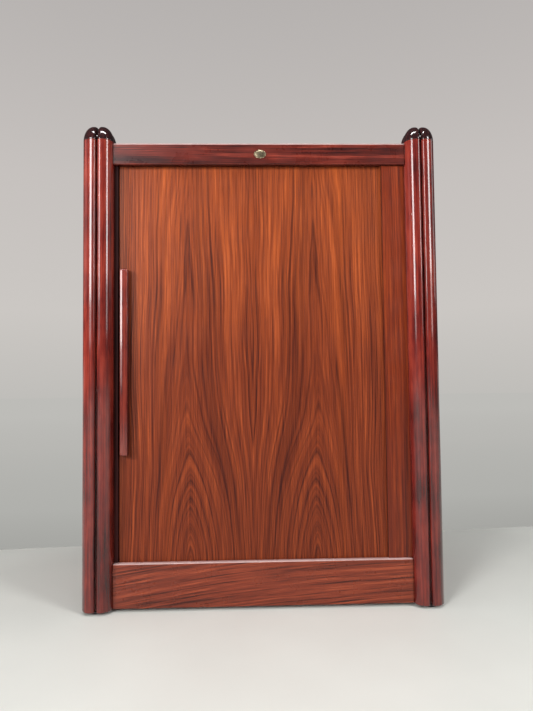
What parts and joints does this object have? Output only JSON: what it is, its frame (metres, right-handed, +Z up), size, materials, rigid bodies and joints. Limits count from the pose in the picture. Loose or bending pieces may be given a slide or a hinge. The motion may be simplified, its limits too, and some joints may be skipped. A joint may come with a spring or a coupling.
{
  "type": "record cabinet",
  "caption": "Free-standing wooden record cabinet with fluted corner posts of four rounded staves, domed dark caps, a sliding tambour door, shelves and record dividers.",
  "frame": {"origin": "on the floor under the middle of the cabinet", "axes": "+Z up, the door faces -Y, +X is towards the side that the door slides to"},
  "size_m": [0.803, 0.45, 1.0882],
  "materials": {
    "post_wood": "polished solid rosewood, glossy",
    "rail_wood": "oiled rosewood, satin",
    "panel_veneer": "rosewood veneer, satin",
    "tambour_veneer": "slip-matched rosewood veneer on narrow slats, satin",
    "ebonised_wood": "ebonised wood, polished",
    "inside_wood": "plain mahogany, matt",
    "canvas": "woven cotton canvas",
    "brass": "aged brass, satin",
    "steel": "plain steel wood screws",
    "glide_plastic": "dark matt glide"
  },
  "bodies": {
    "cabinet": {"post_front_left": "post_wood", "post_front_right": "post_wood", "post_rear_right": "post_wood", "post_rear_left": "post_wood", "cap_front_left": "ebonised_wood", "cap_front_right": "ebonised_wood", "cap_rear_right": "ebonised_wood", "cap_rear_left": "ebonised_wood", "glide_front_left": "glide_plastic", "glide_front_right": "glide_plastic", "glide_rear_right": "glide_plastic", "glide_rear_left": "glide_plastic", "front_top_rail": "rail_wood", "front_bottom_rail": "rail_wood", "back_top_rail": "rail_wood", "back_bottom_rail": "rail_wood", "left_top_rail": "rail_wood", "left_bottom_rail": "rail_wood", "right_top_rail": "rail_wood", "right_bottom_rail": "rail_wood", "left_side_panel": "panel_veneer", "right_side_panel": "panel_veneer", "back_panel": "panel_veneer", "top_panel": "panel_veneer", "ceiling_track_board": "inside_wood", "floor_track_board": "inside_wood", "floor_cleat_left": "inside_wood", "floor_cleat_right": "inside_wood", "fixed_stile": "rail_wood", "strike_stile": "ebonised_wood", "tambour_corner": "tambour_veneer", "tambour_corner_canvas": "canvas", "badge_plate": "brass", "left_liner": "inside_wood", "right_liner": "inside_wood", "back_liner": "inside_wood", "shelf_lower": "inside_wood", "shelf_upper": "inside_wood", "divider_lower_1": "inside_wood", "divider_lower_2": "inside_wood", "divider_middle_1": "inside_wood", "divider_middle_2": "inside_wood", "shelf_pin_lower_left_front": "brass", "shelf_pin_lower_left_rear": "brass", "shelf_pin_lower_right_front": "brass", "shelf_pin_lower_right_rear": "brass", "shelf_pin_upper_left_front": "brass", "shelf_pin_upper_left_rear": "brass", "shelf_pin_upper_right_front": "brass", "shelf_pin_upper_right_rear": "brass"},
    "door": {"lead_stile": "tambour_veneer", "pull_handle": "post_wood", "handle_screw_1": "steel", "handle_screw_2": "steel", "handle_screw_3": "steel", "tambour_slats": "tambour_veneer", "tambour_canvas": "canvas"}
  },
  "joints": [
    {"name": "door_slide", "type": "slide", "parent": "cabinet", "child": "door", "axis": [1, 0, 0], "range_m": [0, 0.566], "deforming": ["tambour_slats", "tambour_canvas"]}
  ]
}
